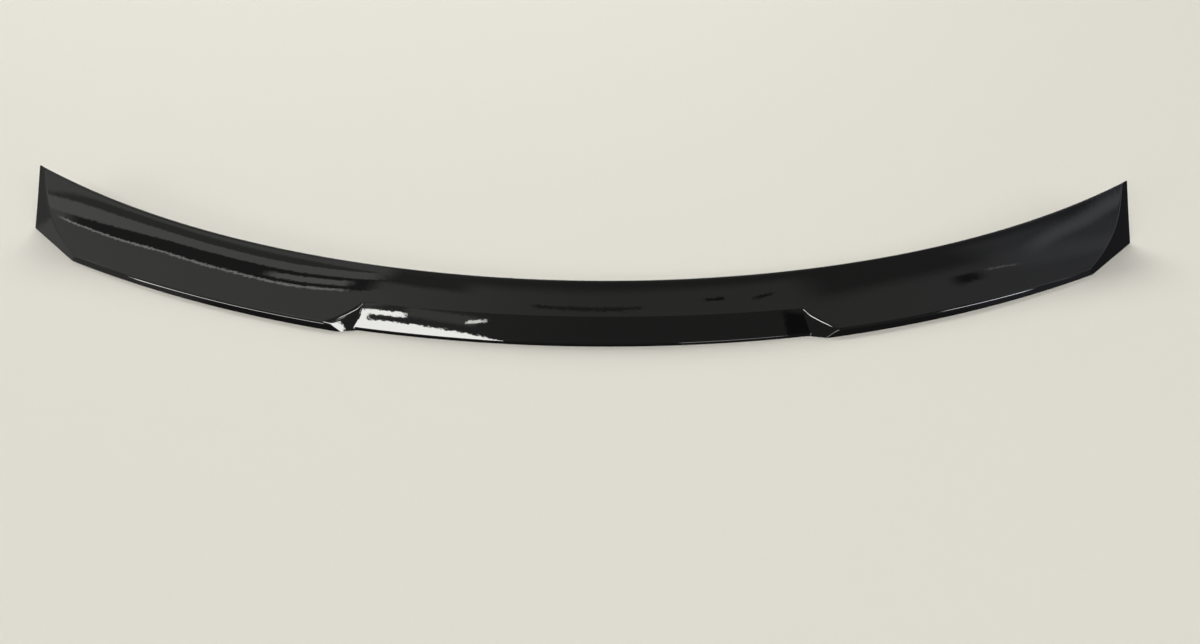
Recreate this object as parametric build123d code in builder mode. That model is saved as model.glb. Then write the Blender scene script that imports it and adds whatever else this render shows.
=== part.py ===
from build123d import *
import math
import os

# Car rear spoiler: one moulded body in gloss black plastic, cored out from below.
# Frame: +X along the span, +Y towards the raised edge, +Z up, base plane at Z = 0.
# The origin lies on the front tape land, on the mid-plane of the spoiler.
# Lengths are in millimetres and angles in degrees.

# Plan of the base: two bowed edges and the slanted ends
overall_width = 1252.0
end_run = 60.0
lip_bow_radius = 1450.0
back_bow_radius = 1885.0
base_depth = 56.7
front_land = 12.0
back_land = 8.0

# Leaning front lip of the two outer stretches, and the lean of the end facets.
# The rounding of the lip meets both its neighbours at a slight angle, the rounding break.
lip_height = 5.5
lip_lean = 40.0
lip_rounding = 1.6
end_lean = 42.5
rounding_break = 4.0

# Concave top and raised edge, whose nose is rounded in short chords between the turns
raised_bow_radius = 1386.0
overhang = 12.7
raised_height = 33.0
tip_height = 50.0
tip_inset = 17.0
sweep_power = 6
edge_thickness = 2.6
nose_turns = (90, 54, 18, -18, -54, -90)
lip_slope = 22.0
lip_tip_slope = 14.0
raised_slope = 30.0
raised_tip_slope = 40.0
near_handle = 0.30
far_handle = 0.30

# Recess in the middle of the front
recess_setback = 8.0
recess_bow_radius = 1635.0
recess_run = 25.8
recess_edge_height = 1.5
recess_overrun = 5.0
step_half_width = 255.5
facet_slope = 34.0
facet_turn = 6.5

# Coring of the underside
skin = 3.5
rib_thickness = 4.0
bay_count = 12
cored_half_width = 520.0

# Values that follow from the sizes above
half_width = overall_width / 2
corner_x = half_width - end_run
tip_x = half_width - tip_inset
recess_apex = -front_land / 2
lip_apex = recess_apex - recess_setback
back_apex = lip_apex + base_depth
raised_apex = back_apex + overhang
loft_end = half_width + edge_thickness
loft_steps = 7
base_trim = edge_thickness
clear_height = 2 * tip_height
lean_rate = math.tan(math.radians(lip_lean))


def bow(x, apex, radius):
    """Distance along Y of a circular bow, as seen in plan."""
    return apex + radius - math.sqrt(radius * radius - x * x)


def lip_y(x):
    return bow(x, lip_apex, lip_bow_radius)


def recess_y(x):
    return bow(x, recess_apex, recess_bow_radius)


def front_y(x):
    return recess_y(x) if abs(x) < step_half_width else lip_y(x)


def back_y(x):
    return bow(x, back_apex, back_bow_radius)


def raised_y(x):
    return bow(x, raised_apex, raised_bow_radius)


def raised_z(x):
    return raised_height + (tip_height - raised_height) * (abs(x) / tip_x) ** sweep_power


def flat_slope(x):
    """Slope of the top just behind the lip."""
    return lip_slope + (lip_tip_slope - lip_slope) * (x / tip_x) ** 2


def edge_slope(x):
    """Slope of the top at the raised edge."""
    return raised_slope + (raised_tip_slope - raised_slope) * (x / tip_x) ** 2


def section_plane(x):
    """Plane of the cross-section at station x, with local X along Y and local Y up."""
    return Plane(origin=(x, 0, 0), x_dir=(0, 1, 0), z_dir=(1, 0, 0))


def heading(angle):
    return Vector(math.cos(math.radians(angle)), math.sin(math.radians(angle)))


def lip_crease(x):
    return Vector(lip_y(x) + lip_height * lean_rate, lip_height)


def nose_centre(x):
    return Vector(raised_y(x), raised_z(x)) - heading(edge_slope(x)) * (edge_thickness / 2)


def top_points(x):
    """Control points of the concave top at station x, from the lip to the raised edge."""
    run = raised_y(x) - lip_y(x)
    start = lip_crease(x) + heading(flat_slope(x)) * lip_rounding
    end = nose_centre(x) + heading(edge_slope(x) + 90) * (edge_thickness / 2)
    start_pull = heading(flat_slope(x)) * (near_handle * run)
    end_pull = heading(edge_slope(x)) * (far_handle * run)
    return start, start + start_pull, end - end_pull, end


def top_height(x, y):
    """Height of the concave top at station x and distance y, by halving."""
    a, b, c, d = top_points(x)
    low, high = 0.0, 1.0
    for _ in range(40):
        t = (low + high) / 2
        point = a * (1 - t) ** 3 + b * (3 * t * (1 - t) ** 2) + c * (3 * t * t * (1 - t)) + d * t**3
        if point.X < y:
            low = t
        else:
            high = t
    return point.Y


def span_stations(end, steps):
    return [end * step / steps for step in range(-steps, steps + 1)]


# Outer form: cross-sections lofted along the span
with BuildPart() as form:
    for station in span_stations(loft_end, loft_steps):
        slope = edge_slope(station)
        top = top_points(station)
        lip_top = lip_crease(station) - heading(90 - lip_lean) * lip_rounding
        lip_pull = lip_rounding * 2 / 3
        lip_turn = heading(90 - lip_lean - rounding_break) * lip_pull
        top_turn = heading(flat_slope(station) + rounding_break) * lip_pull
        nose = [
            nose_centre(station) + heading(slope + turn) * (edge_thickness / 2) for turn in nose_turns
        ]
        foot = Vector(lip_y(station) - base_trim * lean_rate, -base_trim)
        heel = Vector(back_y(station), 0)
        heel += (heel - nose[-1]) * (base_trim / nose[-1].Y)
        with BuildSketch(section_plane(station)):
            with BuildLine():
                Line(heel, foot)
                Line(foot, lip_top)
                Bezier(lip_top, lip_top + lip_turn, top[0] - top_turn, top[0])
                Bezier(*top)
                Polyline(*nose)
                Line(nose[-1], heel)
            make_face()
    loft()

    # Flat base: the sections reach a little below it and are cut off at Z = 0
    split(bisect_by=Plane.XY, keep=Keep.TOP)

    # End facets, each leaning inwards from the line between the lip corner and the base corner
    for side in (-1, 1):
        lip_corner = Vector(side * corner_x, lip_y(corner_x), 0)
        base_corner = Vector(side * half_width, back_y(half_width), 0)
        along = (base_corner - lip_corner).normalized()
        outward = along.cross(Vector(0, 0, side))
        facet_normal = outward.rotate(Axis((0, 0, 0), along), -side * end_lean)
        split(bisect_by=Plane(origin=base_corner, x_dir=along, z_dir=facet_normal), keep=Keep.BOTTOM)

# Recess wedge: what stands above the sloping middle face and inside the two step facets
with BuildPart() as recess:
    for station in span_stations(step_half_width + recess_run, 4):
        edge = recess_y(station)
        brow = Vector(edge + recess_edge_height * lean_rate, recess_edge_height)
        crease = Vector(edge + recess_run, top_height(station, edge + recess_run))
        top_end = crease + (crease - brow).normalized() * recess_overrun
        ahead = edge - clear_height
        with BuildSketch(section_plane(station)):
            with BuildLine():
                Polyline(
                    (ahead, -recess_edge_height),
                    (edge - recess_edge_height * lean_rate, -recess_edge_height),
                    brow,
                    top_end,
                    (top_end.X, clear_height),
                    (ahead, clear_height),
                    close=True,
                )
            make_face()
    loft()
    for side in (-1, 1):
        facet_normal = Vector(
            -side * math.sin(math.radians(facet_slope)) * math.sin(math.radians(facet_turn)),
            -math.sin(math.radians(facet_slope)) * math.cos(math.radians(facet_turn)),
            math.cos(math.radians(facet_slope)),
        )
        facet_foot = (side * step_half_width, lip_y(step_half_width), 0)
        split(bisect_by=Plane(origin=facet_foot, z_dir=facet_normal), keep=Keep.TOP)

with BuildPart() as outer:
    add(form.part)
    add(recess.part, mode=Mode.SUBTRACT)

# Cored bays between the tape lands, roofed by the skin and parted by ribs
bay_pitch = 2 * cored_half_width / bay_count
with BuildPart() as coring:
    with BuildSketch():
        for bay in range(bay_count):
            left = -cored_half_width + bay * bay_pitch + rib_thickness / 2
            right = left + bay_pitch - rib_thickness
            middle = (left + right) / 2
            with BuildLine():
                ThreePointArc(*[(x, front_y(x) + front_land) for x in (left, middle, right)])
                Line((right, front_y(right) + front_land), (right, back_y(right) - back_land))
                ThreePointArc(*[(x, back_y(x) - back_land) for x in (right, middle, left)])
                Line((left, back_y(left) - back_land), (left, front_y(left) + front_land))
            make_face()
    extrude(amount=clear_height)
    add(outer.part.moved(Location((0, 0, -skin))), mode=Mode.INTERSECT)

with BuildPart() as spoiler_body:
    add(outer.part)
    add(coring.part, mode=Mode.SUBTRACT)

spoiler_body.part.label = "spoiler_body"
os.makedirs("parts", exist_ok=True)
export_step(spoiler_body.part, "parts/spoiler_body.step")
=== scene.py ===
import math

import bmesh
import bpy
import numpy as np
from mathutils import Euler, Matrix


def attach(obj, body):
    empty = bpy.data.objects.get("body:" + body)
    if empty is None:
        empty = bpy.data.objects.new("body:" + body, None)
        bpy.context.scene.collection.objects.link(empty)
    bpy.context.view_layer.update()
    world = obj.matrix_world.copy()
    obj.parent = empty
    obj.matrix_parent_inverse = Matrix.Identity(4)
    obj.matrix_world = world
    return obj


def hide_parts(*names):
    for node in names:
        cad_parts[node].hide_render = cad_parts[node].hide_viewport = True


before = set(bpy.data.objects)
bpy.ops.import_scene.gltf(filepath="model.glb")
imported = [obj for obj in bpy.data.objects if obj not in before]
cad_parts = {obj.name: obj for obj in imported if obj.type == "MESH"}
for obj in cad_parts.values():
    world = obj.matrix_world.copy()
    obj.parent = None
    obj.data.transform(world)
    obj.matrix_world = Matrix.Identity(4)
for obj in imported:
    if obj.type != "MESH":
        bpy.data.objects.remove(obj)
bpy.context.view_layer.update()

# Car rear spoiler in gloss black. The skin is one closed mesh on the sizes of the solid,
# with its edges rounded as a moulding has them. Only the crease between the concave top and
# the recessed middle face is left sharp. +X runs along the span, +Y towards the raised edge
# and +Z up, with the base plane at Z = 0.

# Camera of the photograph, for an image of 1200 by 644
IMAGE_WIDTH = 1200
FOCAL_PIXELS = 865.0
SENSOR_MM = 36.0
NEAR_CLIP = 0.01
EYE = (0.0099, -0.5244, 0.7306)
EYE_TURN_DEG = (36.991, -0.812, 0.317)

# Finish: near-black body, polish with a faint haze and ripple, duller where it faces down
BODY_BLACK = (0.0028, 0.0028, 0.003, 1.0)
UNDER_BLACK = (0.014, 0.014, 0.015, 1.0)
PLASTIC_IOR = 1.5
POLISH_ROUGHNESS = (0.008, 0.025)
UNDER_ROUGHNESS = 0.4
UNDER_FACING = (-0.75, -0.85)
HAZE_SCALE, HAZE_DETAIL, HAZE_SPREAD = 9.0, 4.0, (0.3, 0.7)
RIPPLE_SCALE, PEEL_SCALE, PEEL_SHARE = 16.0, 230.0, 0.075
RIPPLE_HEIGHT = 0.00016

# Floor and plain studio light. Each fall of the light goes from one direction to another,
# and from one level to another.
FLOOR_TINT = (0.72, 0.70, 0.645, 1.0)
FLOOR_ROUGHNESS, FLOOR_SHINE = 0.6, 0.2
FLOOR_REACH = 40.0
SIDE_FALL = (-0.55, 0.05, 0.86, 0.47)
NEAR_FALL = (-0.30, -0.21, 0.5, 1.0)
WARM_LIGHT = (1.0, 0.995, 0.955, 1.0)
COOL_LIGHT = (0.95, 0.97, 1.04, 1.0)
COOL_SIDE = (0.45, 0.75)

# Sizes of the solid, in millimetres
MM = 0.001
HALF_WIDTH = 626.0
CORNER_X = 566.0
LIP_APEX, LIP_BOW = -14.0, 1450.0
RECESS_APEX, RECESS_BOW = -6.0, 1635.0
BACK_APEX, BACK_BOW = 42.7, 1885.0
RAISED_APEX, RAISED_BOW = 55.4, 1386.0
LIP_HEIGHT = 5.5
LIP_LEAN = math.tan(math.radians(40.0))
LIP_SLOPE, LIP_TIP_SLOPE = 22.0, 14.0
LIP_SETBACK = 1.6
RAISED_HEIGHT, TIP_HEIGHT, TIP_X, SWEEP_POWER = 33.0, 50.0, 609.0, 6
RAISED_SLOPE, RAISED_TIP_SLOPE = 30.0, 40.0
NOSE_RADIUS = 1.3
HANDLE = 0.30
RECESS_RUN, RECESS_EDGE, RECESS_OVERRUN = 25.8, 1.5, 4.0
STEP_X = 255.5
FACET_SLOPE, FACET_TURN = math.radians(34.0), math.radians(6.5)
END_LEAN = math.radians(42.5)
SKIN, RIB, BAYS, CORED_X = 3.5, 4.0, 12, 520.0
FRONT_LAND, BACK_LAND = 12.0, 8.0

# Roundings, as the height difference over which each blend works; the crease keeps next to
# none, and the step's blend comes in over the fade. The end roundings are reaches.
LIP_BLEND = 1.5
BROW_BLEND = 0.5
STEP_BLEND, STEP_FADE = 1.0, 1.0
CREASE_BLEND = 0.002
VALLEY_BLEND = 0.3
END_ROUNDING = 1.6
NOSE_END_ROUNDING = 0.5

# Slight crowns of the recessed middle face and of the step facets
FACE_CROWN = 0.2
FACET_MIDDLE = (246.0, 20.0)
FACET_CROWN_RADIUS = 600.0

# Rows of the skin, by level: 0 at the foot and 1 where the nose begins. One row lies on the
# crease in the middle, and the rows let go of it over the fade towards the ends.
LIP_LEVEL, CREASE_LEVEL, FAR_LEVEL = 0.09, 0.42, 0.62
LIP_ROWS, FACE_ROWS, TOP_ROWS, FAR_ROWS = 13, 26, 14, 19
NOSE_STEPS, BACK_STEPS, ROOF_STEPS = 10, 3, 8
CREASE_ROW = LIP_ROWS + FACE_ROWS
FOLLOW_END_X, FOLLOW_FADE = 420.0, 130.0

# Stations along the span: the middle stretch, its close stations at the steps, and the ends
MIDDLE_X = 530.0
STEP_INNER_X, STEP_OUTER_X = 222.0, 276.0
STEP_PITCH, SPAN_PITCH = 0.7, 2.2
END_WIDE_STATIONS, END_CLOSE_STATIONS, END_CLOSE_SHARE = 25, 8, 0.85
END_ROUNDING_STEPS, END_ROUNDING_RATIO = 6, 1.1
NARROWING_ROWS = 6
END_PASSES, END_PASS_SHARE = 60, 0.8

# Accuracy of the halvings and of the places of the bay walls, and the sharp edges
TOP_HALVINGS, FOOT_HALVINGS = 36, 44
FOOT_MARGIN = 4.0
WALL_MARGIN = 1e-6
SHARP_ANGLE = math.radians(28.0)
QUARTER_TURN = math.pi / 2


def bow(x, apex, radius):
    return apex + radius - np.sqrt(radius * radius - x * x)


def lip_y(x):
    return bow(x, LIP_APEX, LIP_BOW)


def recess_y(x):
    return bow(x, RECESS_APEX, RECESS_BOW)


def back_y(x):
    return bow(x, BACK_APEX, BACK_BOW)


def raised_y(x):
    return bow(x, RAISED_APEX, RAISED_BOW)


def flat_slope(x):
    return np.radians(LIP_SLOPE + (LIP_TIP_SLOPE - LIP_SLOPE) * (x / TIP_X) ** 2)


def edge_slope(x):
    return np.radians(RAISED_SLOPE + (RAISED_TIP_SLOPE - RAISED_SLOPE) * (x / TIP_X) ** 2)


def nose_centre(x):
    slope = edge_slope(x)
    y = raised_y(x) - np.cos(slope) * NOSE_RADIUS
    z = RAISED_HEIGHT + (TIP_HEIGHT - RAISED_HEIGHT) * (np.abs(x) / TIP_X) ** SWEEP_POWER
    return y, z - np.sin(slope) * NOSE_RADIUS


def nose_point(x, turn):
    """Point on the rounded nose of the raised edge, at a turn from its heading."""
    y, z = nose_centre(x)
    angle = edge_slope(x) + turn
    return y + np.cos(angle) * NOSE_RADIUS, z + np.sin(angle) * NOSE_RADIUS


def soft_min(a, b, blend):
    near = np.maximum(blend - np.abs(a - b), 0.0)
    return np.minimum(a, b) - near * near / (4.0 * blend)


def soft_max(a, b, blend):
    return -soft_min(-a, -b, blend)


def concave_top(x, y):
    """Height of the concave top, carried on in a straight line ahead of the lip."""
    lip_way, edge_way = flat_slope(x), edge_slope(x)
    run = raised_y(x) - lip_y(x)
    y0 = lip_y(x) + LIP_HEIGHT * LIP_LEAN + np.cos(lip_way) * LIP_SETBACK
    z0 = LIP_HEIGHT + np.sin(lip_way) * LIP_SETBACK
    y3, z3 = nose_point(x, QUARTER_TURN)
    y1, z1 = y0 + np.cos(lip_way) * HANDLE * run, z0 + np.sin(lip_way) * HANDLE * run
    y2, z2 = y3 - np.cos(edge_way) * HANDLE * run, z3 - np.sin(edge_way) * HANDLE * run
    low, high = np.zeros_like(y), np.ones_like(y)
    for _ in range(TOP_HALVINGS):
        t = (low + high) / 2
        s = 1 - t
        ahead = s**3 * y0 + 3 * t * s * s * y1 + 3 * t * t * s * y2 + t**3 * y3 < y
        low, high = np.where(ahead, t, low), np.where(ahead, high, t)
    curve = s**3 * z0 + 3 * t * s * s * z1 + 3 * t * t * s * z2 + t**3 * z3
    return np.where(y < y0, z0 + (y - y0) * np.tan(lip_way), curve)


def outer_height(x, y):
    """Height of the whole outer form: top, lip, recessed middle face and its two step facets."""
    top = concave_top(x, y)
    body = soft_min(top, (y - lip_y(x)) / LIP_LEAN, LIP_BLEND)
    edge = recess_y(x)
    brow = edge + RECESS_EDGE * LIP_LEAN
    crease_y = edge + RECESS_RUN
    rise = (concave_top(x, crease_y) - RECESS_EDGE) / (crease_y - brow)
    share = np.clip((y - brow) / (crease_y - brow), 0.0, 1.0)
    face = RECESS_EDGE + (y - brow) * rise + 4 * FACE_CROWN * share * (1 - share)
    middle = soft_min(face, (y - edge) / LIP_LEAN, BROW_BLEND)
    facet = math.tan(FACET_SLOPE) * (
        math.sin(FACET_TURN) * (np.abs(x) - STEP_X)
        + math.cos(FACET_TURN) * (y - lip_y(STEP_X))
    )
    out, back = np.abs(x) - FACET_MIDDLE[0], y - FACET_MIDDLE[1]
    facet = facet - (out * out + back * back) / (2 * FACET_CROWN_RADIUS)
    stepped = np.clip((facet - middle) / STEP_FADE, 0.0, 1.0)
    stepped = stepped * stepped * (3 - 2 * stepped)
    blend = CREASE_BLEND + (STEP_BLEND - CREASE_BLEND) * stepped
    cut = soft_max(middle, facet, VALLEY_BLEND)
    inside = (y < crease_y + RECESS_OVERRUN) & (np.abs(x) < STEP_X + RECESS_RUN)
    return np.where(inside, soft_min(body, cut, blend), body)


def foot_y(x):
    """Front edge of the base at station x, by halving."""
    low = np.minimum(lip_y(x), recess_y(x)) - FOOT_MARGIN
    high = np.maximum(lip_y(x), recess_y(x)) + FOOT_MARGIN
    for _ in range(FOOT_HALVINGS):
        y = (low + high) / 2
        above = outer_height(x, y) > 0
        low, high = np.where(above, low, y), np.where(above, y, high)
    return y


def row_levels():
    """Levels of the rows from the foot to the nose: close together at the lip, wider behind."""
    near = np.linspace(0.0, LIP_LEVEL, LIP_ROWS, endpoint=False)
    front = np.linspace(LIP_LEVEL, CREASE_LEVEL, FACE_ROWS, endpoint=False)
    behind = np.linspace(CREASE_LEVEL, FAR_LEVEL, TOP_ROWS, endpoint=False)
    far = np.linspace(FAR_LEVEL, 1.0, FAR_ROWS)
    return np.concatenate([near, front, behind, far])


# The three groups of rows: over the top, round the nose and down the back
LEVELS = row_levels()
TURNS = np.linspace(QUARTER_TURN, -QUARTER_TURN, NOSE_STEPS + 1)[1:]
DROPS = np.linspace(0.0, 1.0, BACK_STEPS + 1)[1:]


def rows_at(x_top, x_nose, x_back, foot):
    """Points of all rows, foot to heel, for the stations given for each group of rows."""
    y_end, _ = nose_point(x_top, QUARTER_TURN)
    even = foot + LEVELS * (y_end - foot)
    crease_y = recess_y(x_top) + RECESS_RUN
    on_crease = np.where(
        LEVELS < CREASE_LEVEL,
        foot + LEVELS / CREASE_LEVEL * (crease_y - foot),
        crease_y + (LEVELS - CREASE_LEVEL) / (1 - CREASE_LEVEL) * (y_end - crease_y),
    )
    follow = np.clip((FOLLOW_END_X - np.abs(x_top)) / FOLLOW_FADE, 0.0, 1.0)
    y = even + (on_crease - even) * follow
    top = np.stack([x_top, y, outer_height(x_top, y)], axis=-1)
    y, z = nose_point(x_nose, TURNS)
    nose = np.stack([x_nose, y, z], axis=-1)
    y, z = nose_point(x_back, -QUARTER_TURN)
    heel = back_y(x_back)
    back = np.stack([x_back, y + (heel - y) * DROPS, z * (1 - DROPS)], axis=-1)
    points = np.concatenate([top, nose, back], axis=1)
    points[:, 0, 2] = 0.0
    points[:, -1, 2] = 0.0
    return points


def outer_rows(x):
    """Rows beyond the recess, where the foot follows the lip bow; x has a column for each row."""
    nose, back = len(LEVELS), len(LEVELS) + len(TURNS)
    return rows_at(x[:, :nose], x[:, nose:back], x[:, back:], lip_y(x[:, :nose]))


def bay_walls():
    """Places of the left walls and of the right walls of the cored bays."""
    pitch = 2 * CORED_X / BAYS
    lefts = -CORED_X + RIB / 2 + pitch * np.arange(BAYS)
    return lefts, lefts + pitch - RIB


def bay_front(x):
    """Front edge of the cored bays: one shallow arc a bay, straight across the ribs."""
    lefts, rights = bay_walls()
    three = np.stack([lefts, (lefts + rights) / 2, rights], axis=1)
    three_y = np.where(np.abs(three) < STEP_X, recess_y(three), lip_y(three)) + FRONT_LAND
    across_ribs = np.interp(x, three[:, ::2].ravel(), three_y[:, ::2].ravel())
    front = np.where(np.abs(x) > CORED_X - RIB, lip_y(x) + FRONT_LAND, across_ribs)
    for places, depths in zip(three, three_y):
        inside = (x > places[0] - WALL_MARGIN) & (x < places[2] + WALL_MARGIN)
        front = np.where(inside, np.polyval(np.polyfit(places, depths, 2), x), front)
    return front


def span_stations():
    """Stations of the middle stretch: on each bay wall, and close together at the two steps."""
    ends = (STEP_INNER_X, STEP_OUTER_X, MIDDLE_X)
    marks = sorted({side * end for side in (-1, 1) for end in ends}.union(*bay_walls()))
    stations = []
    for start, end in zip(marks, marks[1:]):
        at_step = STEP_INNER_X < abs(start + end) / 2 < STEP_OUTER_X
        count = max(1, round((end - start) / (STEP_PITCH if at_step else SPAN_PITCH)))
        stations += list(np.linspace(start, end, count, endpoint=False))
    return np.array(stations + [marks[-1]])


def end_stations():
    """Stations from the middle stretch to the slanted end facet, with a rounded edge between."""
    corner = np.array([CORNER_X, float(lip_y(CORNER_X)), 0.0])
    base = np.array([HALF_WIDTH, float(back_y(HALF_WIDTH)), 0.0])
    along = (base - corner) / np.linalg.norm(base - corner)
    outward = np.cross(along, [0.0, 0.0, 1.0])
    normal = outward * math.cos(END_LEAN) + np.array([0.0, 0.0, math.sin(END_LEAN)])

    # The rim is where the rows meet the plane of the facet, found in passes
    nose = len(LEVELS)
    count = nose + len(TURNS) + len(DROPS)
    x_end = np.full((1, count), CORNER_X)
    for _ in range(END_PASSES):
        rows = outer_rows(x_end)[0]
        x_end = x_end - ((rows - base) @ normal / normal[0])[None, :] * END_PASS_SHARE
    rim = outer_rows(x_end)[0]

    # The rounding starts short of the rim and ends inside it, on the facet
    reach = np.full(count, END_ROUNDING)
    reach[nose:] = NOSE_END_ROUNDING
    narrowing = np.linspace(END_ROUNDING, NOSE_END_ROUNDING, NARROWING_ROWS)
    reach[nose - NARROWING_ROWS : nose] = narrowing
    x_start = x_end - reach[None, :] / END_ROUNDING_RATIO
    wide = np.linspace(0.0, END_CLOSE_SHARE, END_WIDE_STATIONS + 1)[1:]
    close = np.linspace(END_CLOSE_SHARE, 1.0, END_CLOSE_STATIONS + 1)[1:]
    share = np.concatenate([wide, close])[:, None]
    stretch = outer_rows(MIDDLE_X + share * (x_start - MIDDLE_X))
    edge_way = np.gradient(rim, axis=0)
    edge_way /= np.linalg.norm(edge_way, axis=1)[:, None]
    inward = np.cross(edge_way, normal)
    inward[0], inward[-1] = along, -along
    ring = rim + inward * reach[:, None]
    start = stretch[-1]
    rounding = []
    for t in np.linspace(0.0, 1.0, END_ROUNDING_STEPS + 1)[1:]:
        rounding.append((1 - t) ** 2 * start + 2 * t * (1 - t) * rim + t * t * ring)
    return np.concatenate([stretch, np.array(rounding)])


def land_edges(rows, x, first, last):
    """Inner edges of the front and the back tape land; first to last is the middle stretch."""
    foot, heel = rows[:, 0], rows[:, -1]
    front, back = foot.copy(), heel.copy()
    front[first:last, 1] = bay_front(x)
    back[first:last, 1] = back_y(x) - BACK_LAND
    for ends, inner in ((slice(0, first), first), (slice(last, None), last - 1)):
        width = heel[inner, 1] - foot[inner, 1]
        front[ends] += (heel[ends] - foot[ends]) * ((front[inner, 1] - foot[inner, 1]) / width)
        back[ends] += (foot[ends] - heel[ends]) * ((heel[inner, 1] - back[inner, 1]) / width)
    return front, back


def shell_mesh():
    """The whole spoiler as one closed mesh: rows along the span, flat base, cored bays below."""
    x = span_stations()
    groups = [np.repeat(x[:, None], len(group), axis=1) for group in (LEVELS, TURNS, DROPS)]
    middle = rows_at(*groups, foot_y(x)[:, None])
    right = end_stations()
    left = right[::-1] * np.array([-1.0, 1.0, 1.0])
    rows = np.concatenate([left, middle, right])
    first, last = len(left), len(left) + len(middle)
    front, back = land_edges(rows, x, first, last)

    def stations_where(chosen):
        return [first + int(k) for k in np.flatnonzero(chosen)]

    bays = [
        stations_where((x > wall - WALL_MARGIN) & (x < next_wall + WALL_MARGIN))
        for wall, next_wall in zip(*bay_walls())
    ]
    cored = {k for bay in bays for k in bay[:-1]}
    bm = bmesh.new()

    def vert(point):
        return bm.verts.new([value * MM for value in point])

    def face(*corners):
        made = bm.faces.new(corners)
        made.smooth = True
        return made

    # Skin, tape lands, ribs and end facets
    skin_rows = [[vert(point) for point in row] for row in rows]
    fronts = [vert(point) for point in front]
    backs = [vert(point) for point in back]
    for k in range(len(rows) - 1):
        here, there = skin_rows[k], skin_rows[k + 1]
        for row in range(len(here) - 1):
            face(here[row], there[row], there[row + 1], here[row + 1])
        face(here[0], fronts[k], fronts[k + 1], there[0])
        face(backs[k], here[-1], there[-1], backs[k + 1])
        if k not in cored:
            face(fronts[k], backs[k], backs[k + 1], fronts[k + 1])
    for k in (0, len(rows) - 1):
        face(*skin_rows[k], backs[k], fronts[k]).smooth = False

    # Roofs and walls of the cored bays
    roof_shares = np.linspace(0.0, 1.0, ROOF_STEPS + 1)
    for bay in bays:
        roofs = []
        for k in bay:
            y = front[k, 1] + roof_shares * (back[k, 1] - front[k, 1])
            at = np.full_like(y, front[k, 0])
            z = outer_height(at, y) - SKIN
            roofs.append([vert(point) for point in zip(at, y, z)])
        for k, here, there in zip(bay, roofs, roofs[1:]):
            for row in range(len(here) - 1):
                face(here[row], here[row + 1], there[row + 1], there[row])
            face(fronts[k], here[0], there[0], fronts[k + 1])
            face(backs[k], backs[k + 1], there[-1], here[-1])
        for end in (0, -1):
            face(fronts[bay[end]], backs[bay[end]], *reversed(roofs[end]))

    # Sharp edges: every large angle, and the crease between the two steps
    bmesh.ops.recalc_face_normals(bm, faces=bm.faces)
    for edge in bm.edges:
        edge.smooth = edge.calc_face_angle(0.0) < SHARP_ANGLE
    crease = [skin_rows[k][CREASE_ROW] for k in stations_where(np.abs(x) < STEP_INNER_X)]
    for pair in zip(crease, crease[1:]):
        bm.edges.get(pair).smooth = False
    mesh = bpy.data.meshes.new("spoiler_shell")
    bm.to_mesh(mesh)
    bm.free()
    return mesh


def group_sockets(tree, inputs, outputs):
    """Gives a node group its named sockets: inputs with a start value, then outputs."""
    for name, value in inputs:
        socket = tree.interface.new_socket(name, in_out="INPUT", socket_type="NodeSocketFloat")
        socket.default_value = value
    for name in outputs:
        tree.interface.new_socket(name, in_out="OUTPUT", socket_type="NodeSocketFloat")


def node(tree, kind, place, **settings):
    made = tree.nodes.new(kind)
    made.location = place
    for name, value in settings.items():
        setattr(made, name, value)
    return made


def preset(made, **values):
    """Sets inputs of a node by name, with _ for each space."""
    for name, value in values.items():
        made.inputs[name.replace("_", " ")].default_value = value


def polish_ripple_group():
    """Height of a polished moulding: long soft ripples with a fine orange peel on them."""
    tree = bpy.data.node_groups.new("polish_ripple", "ShaderNodeTree")
    group_sockets(
        tree,
        [("Ripple Scale", RIPPLE_SCALE), ("Peel Scale", PEEL_SCALE), ("Peel Share", PEEL_SHARE)],
        ["Height"],
    )
    source = node(tree, "NodeGroupInput", (-700, 0))
    place = node(tree, "ShaderNodeTexCoord", (-700, 260))
    ripple = node(tree, "ShaderNodeTexNoise", (-400, 180))
    preset(ripple, Detail=0.0)
    peel = node(tree, "ShaderNodeTexNoise", (-400, -140))
    preset(peel, Detail=1.0)
    both = node(tree, "ShaderNodeMix", (-120, 0), data_type="FLOAT")
    result = node(tree, "NodeGroupOutput", (120, 0))
    tree.links.new(place.outputs["Object"], ripple.inputs["Vector"])
    tree.links.new(place.outputs["Object"], peel.inputs["Vector"])
    tree.links.new(source.outputs["Ripple Scale"], ripple.inputs["Scale"])
    tree.links.new(source.outputs["Peel Scale"], peel.inputs["Scale"])
    tree.links.new(source.outputs["Peel Share"], both.inputs["Factor"])
    tree.links.new(ripple.outputs["Fac"], both.inputs["A"])
    tree.links.new(peel.outputs["Fac"], both.inputs["B"])
    tree.links.new(both.outputs["Result"], result.inputs["Height"])
    return tree


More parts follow.
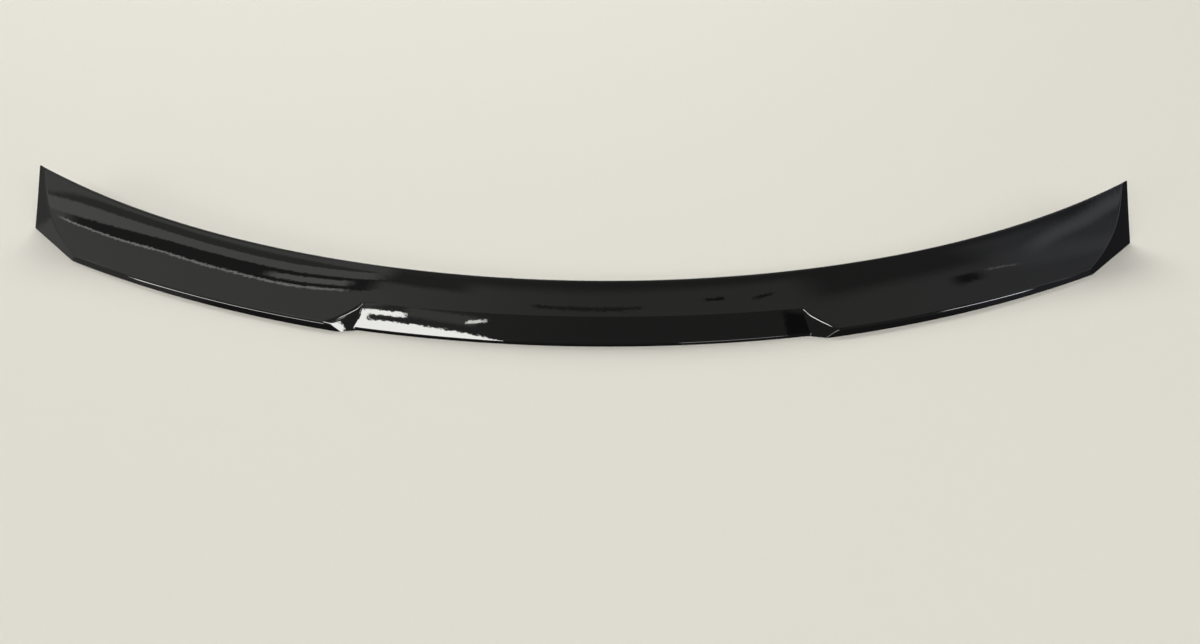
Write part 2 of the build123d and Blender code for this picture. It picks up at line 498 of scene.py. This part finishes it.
def gloss_black():
    """Gloss black plastic: near-black body, mirror polish with a soft ripple, duller below."""
    material = bpy.data.materials.new("gloss_black_plastic")
    material.use_nodes = True
    tree = material.node_tree
    tree.nodes.clear()
    surface = node(tree, "ShaderNodeBsdfPrincipled", (300, 0))
    preset(surface, IOR=PLASTIC_IOR)
    result = node(tree, "ShaderNodeOutputMaterial", (600, 0))
    shape = node(tree, "ShaderNodeNewGeometry", (-1150, 300))
    split = node(tree, "ShaderNodeSeparateXYZ", (-950, 300))
    below = node(tree, "ShaderNodeMapRange", (-750, 300))
    preset(below, From_Min=UNDER_FACING[0], From_Max=UNDER_FACING[1])
    ripple = node(tree, "ShaderNodeGroup", (-750, -360))
    ripple.node_tree = polish_ripple_group()
    tone = node(tree, "ShaderNodeMix", (-200, 260), data_type="RGBA")
    preset(tone, A=BODY_BLACK, B=UNDER_BLACK)
    place = node(tree, "ShaderNodeTexCoord", (-1150, -40))
    haze = node(tree, "ShaderNodeTexNoise", (-950, -40))
    preset(haze, Scale=HAZE_SCALE, Detail=HAZE_DETAIL)
    sheen = node(tree, "ShaderNodeMapRange", (-750, -40))
    preset(sheen, From_Min=HAZE_SPREAD[0], From_Max=HAZE_SPREAD[1])
    preset(sheen, To_Min=POLISH_ROUGHNESS[0], To_Max=POLISH_ROUGHNESS[1])
    dull = node(tree, "ShaderNodeMix", (-200, 0), data_type="FLOAT")
    preset(dull, B=UNDER_ROUGHNESS)
    bump = node(tree, "ShaderNodeBump", (0, -360))
    preset(bump, Strength=1.0, Distance=RIPPLE_HEIGHT)
    tree.links.new(shape.outputs["Normal"], split.inputs["Vector"])
    tree.links.new(split.outputs["Z"], below.inputs["Value"])
    tree.links.new(place.outputs["Object"], haze.inputs["Vector"])
    tree.links.new(haze.outputs["Fac"], sheen.inputs["Value"])
    tree.links.new(below.outputs["Result"], tone.inputs["Factor"])
    tree.links.new(below.outputs["Result"], dull.inputs["Factor"])
    tree.links.new(sheen.outputs["Result"], dull.inputs["A"])
    tree.links.new(tone.outputs["Result"], surface.inputs["Base Color"])
    tree.links.new(dull.outputs["Result"], surface.inputs["Roughness"])
    tree.links.new(ripple.outputs["Height"], bump.inputs["Height"])
    tree.links.new(bump.outputs["Normal"], surface.inputs["Normal"])
    tree.links.new(surface.outputs["BSDF"], result.inputs["Surface"])
    return material


def pale_floor():
    material = bpy.data.materials.new("pale_floor")
    material.use_nodes = True
    surface = material.node_tree.nodes["Principled BSDF"]
    preset(surface, Base_Color=FLOOR_TINT, Roughness=FLOOR_ROUGHNESS)
    preset(surface, Specular_IOR_Level=FLOOR_SHINE)
    return material


# Light cards and dark flags of the studio, by the direction that the skin mirrors: name, level,
# limits from side to side and from front to back, slant and bend of the rows, softness of both
CARDS = [
    ("back shade", 0.2, (-1.2, 1.2), (0.18, 0.80), 0.0, None, (0.05, 0.03)),
    ("back strip box", 15.5, (-0.65, 0.30), (0.85, 0.94), 0.0, (0.57, 0.0), (0.05, 0.015)),
    ("near shade", 0.12, (-1.2, 1.2), (-1.2, -0.60), 0.0, None, (0.03, 0.03)),
    ("middle shade", 0.30, (-0.42, -0.22), (-0.30, -0.195), 0.0, None, (0.03, 0.02)),
    ("left shade", 0.42, (-0.86, -0.40), (-0.25, -0.18), 0.0, (1.5, -0.6), (0.02, 0.012)),
    ("edge light", 0.9, (-0.85, -0.36), (-0.33, -0.264), 0.0, None, (0.02, 0.012)),
    ("dark flag", 0.18, (-0.785, -0.37), (-0.124, 0.20), 0.0, (1.5, -0.6), (0.02, 0.004)),
    ("upper band", 1.2, (-0.95, -0.37), (-0.187, -0.124), 0.0, (1.5, -0.6), (0.03, 0.006)),
    ("top panel", 0.82, (-0.88, -0.35), (-0.041, 0.20), 0.0, (2.1, -0.575), (0.03, 0.005)),
    ("flag edge light", 3.2, (-0.80, -0.41), (-0.047, -0.038), 0.0, (2.1, -0.575), (0.01, 0.003)),
    ("flag gap", 1.5, (-0.52, -0.41), (-0.098, -0.066), 0.0, (2.1, -0.575), (0.012, 0.004)),
    ("thin flag", 0.2, (-0.10, 0.09), (-0.171, -0.158), 0.0, None, (0.01, 0.004)),
    ("small flag", 0.07, (0.203, 0.236), (-0.182, -0.166), 0.0, None, (0.006, 0.005)),
    ("slanted flag", 0.1, (0.285, 0.318), (-0.065, -0.052), 0.33, None, (0.008, 0.006)),
    ("right shade", 0.22, (0.38, 0.63), (-0.40, -0.09), 0.0, None, (0.04, 0.04)),
    ("right panel", 0.62, (0.64, 0.85), (-0.13, -0.02), 0.0, None, (0.04, 0.04)),
    ("right band", 0.9, (0.68, 0.86), (0.80, 0.86), 1.4, None, (0.025, 0.025)),
    ("right step shade", 0.05, (0.352, 0.42), (-0.47, -0.335), 0.0, None, (0.006, 0.012)),
    ("right flag", 0.1, (0.565, 0.60), (-0.042, -0.002), 0.0, None, (0.012, 0.012)),
    ("right streak", 1.3, (0.613, 0.645), (-0.047, -0.039), 0.0, None, (0.006, 0.003)),
    ("front panel", 20.0, (-0.43, -0.192), (-0.67, -0.62), 0.61, None, (0.003, 0.003)),
    ("front panel end", 20.0, (-0.20, -0.165), (-0.56, -0.505), 0.0, (17.0, -0.2), (0.003, 0.003)),
    ("front panel side", 20.0, (-0.43, -0.393), (-0.63, -0.585), 0.61, None, (0.003, 0.003)),
    ("front panel top", 20.0, (-0.40, -0.335), (-0.597, -0.577), 0.61, None, (0.003, 0.003)),
    ("front panel glow", 0.8, (-0.335, -0.21), (-0.59, -0.55), 0.61, None, (0.008, 0.008)),
    ("front glint", 14.0, (-0.226, -0.193), (-0.446, -0.434), 0.0, None, (0.004, 0.003)),
    ("left step light", 18.0, (-0.265, -0.18), (-0.414, -0.386), 0.0, (-0.75, 0.0), (0.005, 0.005)),
    ("right step light", 26.0, (0.165, 0.255), (-0.414, -0.386), 0.0, (-0.75, 0.0), (0.005, 0.005)),
    ("left lip strip", 15.0, (-0.835, -0.50), (-0.91, -0.87), 0.5, None, (0.008, 0.008)),
    ("right lip strip", 18.0, (0.65, 0.80), (-0.45, -0.40), 0.0, None, (0.008, 0.008)),
    ("brow strip", 10.0, (0.18, 0.36), (-0.77, -0.73), -0.61, None, (0.01, 0.01)),
    ("left end shade", 0.3, (-2.0, -0.93), (-2.0, 2.0), 0.0, None, (0.04, 0.04)),
    ("left end light", 0.55, (-2.0, -0.985), (-2.0, 0.004), 0.0, None, (0.005, 0.003)),
    ("right end shade", 0.1, (0.93, 2.0), (-2.0, 2.0), 0.0, None, (0.04, 0.04)),
    ("right rim light", 1.3, (0.875, 0.925), (-0.25, 0.1), 0.0, None, (0.01, 0.03)),
]


def soft_studio():
    """A soft studio as the world: pale light from above, dimmer to the right, cards and flags."""
    world = bpy.data.worlds.new("soft_studio")
    world.use_nodes = True
    tree = world.node_tree
    tree.nodes.clear()
    way = node(tree, "ShaderNodeTexCoord", (-1200, 0))
    axes = node(tree, "ShaderNodeSeparateXYZ", (-1000, 0))
    tree.links.new(way.outputs["Generated"], axes.inputs["Vector"])
    across, depth = axes.outputs["X"], axes.outputs["Y"]

    def join(operation, a, b):
        made = node(tree, "ShaderNodeMath", (0, 0), operation=operation)
        for socket, value in zip(made.inputs, (a, b)):
            if isinstance(value, float):
                socket.default_value = value
            else:
                tree.links.new(value, socket)
        return made.outputs["Value"]

    def ramp(value, low, high, start=0.0, end=1.0):
        made = node(tree, "ShaderNodeMapRange", (0, 0), interpolation_type="SMOOTHSTEP")
        preset(made, From_Min=low, From_Max=high, To_Min=start, To_Max=end)
        tree.links.new(value, made.inputs["Value"])
        return made.outputs["Result"]

    def between(value, limits, soft):
        low, high = limits
        rise = ramp(value, low - soft, low + soft)
        return join("MULTIPLY", rise, ramp(value, high - soft, high + soft, 1.0, 0.0))

    light = join("MULTIPLY", ramp(across, *SIDE_FALL), ramp(depth, *NEAR_FALL))
    for name, level, sides, limits, slant, bend, soft in CARDS:
        rows = depth
        if slant:
            rows = join("ADD", rows, join("MULTIPLY", across, slant))
        if bend:
            off = join("SUBTRACT", across, bend[1])
            rows = join("ADD", rows, join("MULTIPLY", join("MULTIPLY", off, off), bend[0]))
        mask = join("MULTIPLY", between(across, sides, soft[0]), between(rows, limits, soft[1]))
        mix = node(tree, "ShaderNodeMix", (0, 0), data_type="FLOAT", label=name)
        preset(mix, B=level)
        tree.links.new(mask, mix.inputs["Factor"])
        tree.links.new(light, mix.inputs["A"])
        light = mix.outputs["Result"]
    tint = node(tree, "ShaderNodeMix", (0, 0), data_type="RGBA")
    preset(tint, A=WARM_LIGHT, B=COOL_LIGHT)
    glow = node(tree, "ShaderNodeBackground", (0, 0))
    backdrop = node(tree, "ShaderNodeBackground", (0, -200))
    preset(backdrop, Color=FLOOR_TINT)
    seen = node(tree, "ShaderNodeLightPath", (0, 300))
    both = node(tree, "ShaderNodeMixShader", (220, 0))
    result = node(tree, "ShaderNodeOutputWorld", (440, 0))
    tree.links.new(ramp(across, *COOL_SIDE), tint.inputs["Factor"])
    tree.links.new(tint.outputs["Result"], glow.inputs["Color"])
    tree.links.new(light, glow.inputs["Strength"])
    tree.links.new(seen.outputs["Is Camera Ray"], both.inputs["Fac"])
    tree.links.new(glow.outputs["Background"], both.inputs[1])
    tree.links.new(backdrop.outputs["Background"], both.inputs[2])
    tree.links.new(both.outputs["Shader"], result.inputs["Surface"])
    return world


spoiler = bpy.data.objects.new("spoiler_skin", shell_mesh())
spoiler.data.materials.append(gloss_black())
bpy.context.scene.collection.objects.link(spoiler)
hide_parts("spoiler_body")
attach(spoiler, "root")

floor_mesh = bpy.data.meshes.new("floor")
floor_corners = [
    (x * FLOOR_REACH, y * FLOOR_REACH, 0.0) for x, y in ((-1, -1), (1, -1), (1, 1), (-1, 1))
]
floor_mesh.from_pydata(floor_corners, [], [(0, 1, 2, 3)])
floor_mesh.materials.append(pale_floor())
floor = bpy.data.objects.new("floor", floor_mesh)
bpy.context.scene.collection.objects.link(floor)

bpy.context.scene.world = soft_studio()

lens = bpy.data.cameras.new("photo_camera")
lens.sensor_fit = "HORIZONTAL"
lens.sensor_width = SENSOR_MM
lens.lens = FOCAL_PIXELS / IMAGE_WIDTH * SENSOR_MM
lens.clip_start = NEAR_CLIP
lens.dof.use_dof = False
eye = bpy.data.objects.new("photo_camera", lens)
eye.location = EYE
eye.rotation_euler = Euler([math.radians(turn) for turn in EYE_TURN_DEG], "XYZ")
bpy.context.scene.collection.objects.link(eye)
bpy.context.scene.camera = eye
bpy.context.scene.view_settings.view_transform = "Standard"
